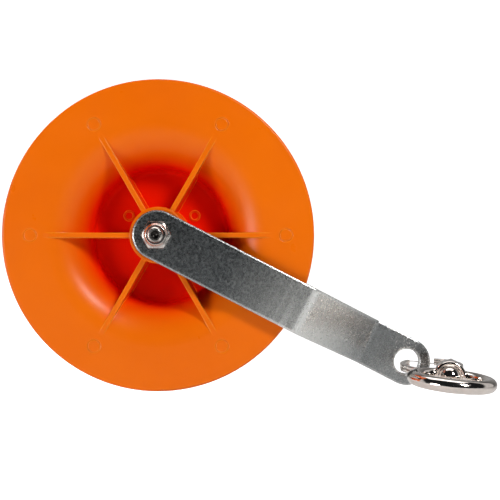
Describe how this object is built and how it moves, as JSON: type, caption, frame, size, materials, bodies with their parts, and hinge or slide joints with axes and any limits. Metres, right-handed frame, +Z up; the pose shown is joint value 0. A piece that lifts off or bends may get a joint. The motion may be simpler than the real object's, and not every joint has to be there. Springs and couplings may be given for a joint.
{
  "type": "hand cable pulley",
  "caption": "Wide flared orange sheave on a bolt between two bent steel straps, with a split ring, swivel and hang ring for pulling cable overhead.",
  "frame": {"origin": "on the axle at the wheel's mid-plane, the centre of the cable groove", "axes": "+Z up, +Y along the axle from the nut side to the bolt head side, +X towards the strap ends and the hang ring"},
  "size_m": [0.1877, 0.0801, 0.1207],
  "materials": {
    "orange_plastic": "satin moulded",
    "bush_plastic": "matte",
    "plated_steel": "zinc plated, lightly brushed",
    "bolt_steel": "bright zinc plated",
    "nylon": "matte",
    "polished_plate": "polished nickel plate"
  },
  "bodies": {
    "bracket": {"strap_front": "plated_steel", "strap_rear": "plated_steel", "axle_bolt": "bolt_steel", "lock_nut": "bolt_steel", "lock_nut_insert": "nylon", "axle_sleeve": "bolt_steel", "thrust_washer_front": "bolt_steel", "thrust_washer_rear": "bolt_steel"},
    "wheel": {"wheel_half_front": "orange_plastic", "wheel_half_rear": "orange_plastic", "hub_bush_front": "bush_plastic", "hub_bush_rear": "bush_plastic"},
    "split_ring": {"link_ring": "polished_plate"},
    "swivel": {"swivel_eye": "polished_plate", "swivel_washer": "polished_plate"},
    "ring": {"hang_ring": "polished_plate"}
  },
  "joints": [
    {"name": "wheel_spin", "type": "hinge", "parent": "bracket", "child": "wheel", "pos_m": [0, 0, 0], "axis": [0, 1, 0], "continuous": true},
    {"name": "link_ring_swing", "type": "hinge", "parent": "bracket", "child": "split_ring", "pos_m": [0.09881, 0, -0.05078], "axis": [0, 1, 0], "range_deg": [-90, 90]},
    {"name": "swivel_slide_round_ring", "type": "hinge", "parent": "split_ring", "child": "swivel", "pos_m": [0.10911, 0, -0.05308], "axis": [0, -0.0698, 0.9976], "range_deg": [-30, 120]},
    {"name": "hang_ring_spin", "type": "hinge", "parent": "swivel", "child": "ring", "pos_m": [0.11275, -0.01988, -0.05429], "axis": [0.1392, 0.9901, 0.0175], "continuous": true}
  ]
}
